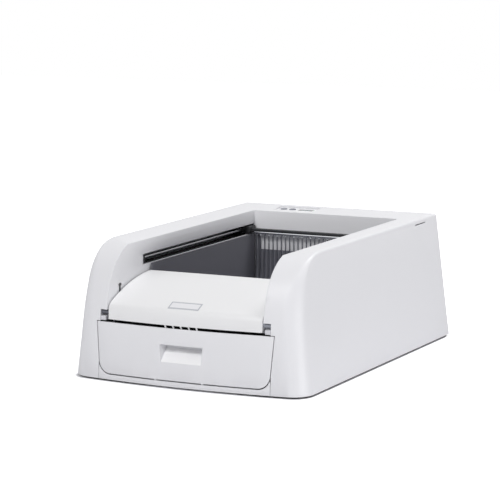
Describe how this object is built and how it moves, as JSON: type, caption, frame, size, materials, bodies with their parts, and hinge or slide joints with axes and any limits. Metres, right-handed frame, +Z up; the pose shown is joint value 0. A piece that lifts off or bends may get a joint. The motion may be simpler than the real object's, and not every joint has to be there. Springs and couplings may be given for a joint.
{
  "type": "self-cleaning litter box",
  "caption": "Open-topped self-cleaning litter box with a motor-driven comb that rakes the tub into a front drawer under a hinged step cover.",
  "frame": {"origin": "middle of the footprint on the floor", "axes": "+X to the right seen from the front, +Y from the drawer front to the rear, +Z up"},
  "size_m": [0.49, 0.69, 0.251],
  "materials": {
    "housing_plastic": "light cool grey moulded plastic, satin with a faint fine grain",
    "drawer_plastic": "light cool grey moulded plastic, satin",
    "charcoal_plastic": "charcoal moulded plastic, fine matt grain",
    "dark_plastic": "dark matt plastic",
    "grey_plastic": "mid grey plastic",
    "white_plastic": "near white satin plastic",
    "foot_rubber": "black moulded rubber",
    "screw_steel": "zinc plated steel",
    "rail_steel": "ground bright steel",
    "comb_chrome": "chrome plated steel wire and bar",
    "bush_brass": "sintered bronze, light brown",
    "motor_can": "drawn and plated steel can",
    "belt_rubber": "black fabric-backed rubber",
    "carbon_pad": "black open carbon fleece",
    "circuit_green": "green lacquered circuit board",
    "window_glass": "dark smoked display window",
    "lens_dark": "dark infrared lens"
  },
  "bodies": {
    "root": {"housing": "housing_plastic", "front_apron": "drawer_plastic", "base_pan": "housing_plastic", "rubber_feet": "foot_rubber", "base_screws": "screw_steel", "tub_cradle": "grey_plastic", "litter_tub": "charcoal_plastic", "drawer_runner_left": "white_plastic", "drawer_runner_right": "white_plastic", "cover_bracket_left": "white_plastic", "cover_bracket_right": "white_plastic", "guide_rail_left": "rail_steel", "guide_rail_right": "rail_steel", "rail_holders_left": "dark_plastic", "rail_holders_right": "dark_plastic", "drive_belt_left": "belt_rubber", "drive_belt_right": "belt_rubber", "idler_axle_left": "screw_steel", "idler_axle_right": "screw_steel", "bearing_blocks": "dark_plastic", "shaft_bushes": "bush_brass", "motor_bracket": "screw_steel", "gearmotor": "motor_can", "control_panel": "white_plastic", "display_window": "window_glass", "control_board": "circuit_green", "board_screws": "screw_steel", "power_inlet": "dark_plastic", "sensor_eyes": "lens_dark", "sensor_boards": "circuit_green", "travel_switches": "dark_plastic"},
    "drawer": {"drawer_front": "drawer_plastic", "waste_bin": "grey_plastic"},
    "cover": {"step_cover": "drawer_plastic", "filter_tray": "grey_plastic", "carbon_filter": "carbon_pad", "hinge_pin_left": "grey_plastic", "hinge_pin_right": "grey_plastic"},
    "rake": {"rake_comb": "comb_chrome", "rake_beam": "dark_plastic", "rake_carriage_left": "dark_plastic", "rake_carriage_right": "dark_plastic"},
    "cross_drive": {"drive_shaft": "rail_steel", "drive_gear": "white_plastic", "drive_pulley_left": "white_plastic", "drive_pulley_right": "white_plastic"},
    "pinion": {"motor_pinion": "rail_steel"},
    "idler_left": {"idler_pulley_left": "white_plastic"},
    "idler_right": {"idler_pulley_right": "white_plastic"},
    "clean_key": {"clean_button": "grey_plastic"},
    "mode_key": {"mode_button": "grey_plastic"}
  },
  "joints": [
    {"name": "drawer_slide", "type": "slide", "parent": "root", "child": "drawer", "axis": [0, -1, 0], "range_m": [0, 0.15]},
    {"name": "cover_hinge", "type": "hinge", "parent": "root", "child": "cover", "pos_m": [0, -0.3185, 0.128], "axis": [1, 0, 0], "range_deg": [0, 70]},
    {"name": "rake_slide", "type": "slide", "parent": "root", "child": "rake", "axis": [0, -1, 0], "range_m": [0, 0.41]},
    {"name": "shaft_turn", "type": "hinge", "parent": "root", "child": "cross_drive", "pos_m": [0, 0.289, 0.208], "axis": [-1, 0, 0], "range_deg": [0, 1804]},
    {"name": "pinion_turn", "type": "hinge", "parent": "root", "child": "pinion", "pos_m": [0, 0.31005, 0.208], "axis": [1, 0, 0], "range_deg": [0, 4510]},
    {"name": "idler_turn_left", "type": "hinge", "parent": "root", "child": "idler_left", "pos_m": [0, -0.204, 0.208], "axis": [-1, 0, 0], "range_deg": [0, 1804]},
    {"name": "idler_turn_right", "type": "hinge", "parent": "root", "child": "idler_right", "pos_m": [0, -0.204, 0.208], "axis": [-1, 0, 0], "range_deg": [0, 1804]},
    {"name": "clean_press", "type": "slide", "parent": "root", "child": "clean_key", "axis": [0, 0, -1], "range_m": [0, 0.0012], "stiffness_N_per_m": 600, "springref_m": -0.0008},
    {"name": "mode_press", "type": "slide", "parent": "root", "child": "mode_key", "axis": [0, 0, -1], "range_m": [0, 0.0012], "stiffness_N_per_m": 600, "springref_m": -0.0008}
  ],
  "couplings": [
    {"joint": "shaft_turn", "follows": "rake_slide", "rad_per_m": 76.628},
    {"joint": "pinion_turn", "follows": "rake_slide", "rad_per_m": 191.57},
    {"joint": "idler_turn_left", "follows": "rake_slide", "rad_per_m": 76.628},
    {"joint": "idler_turn_right", "follows": "rake_slide", "rad_per_m": 76.628}
  ]
}
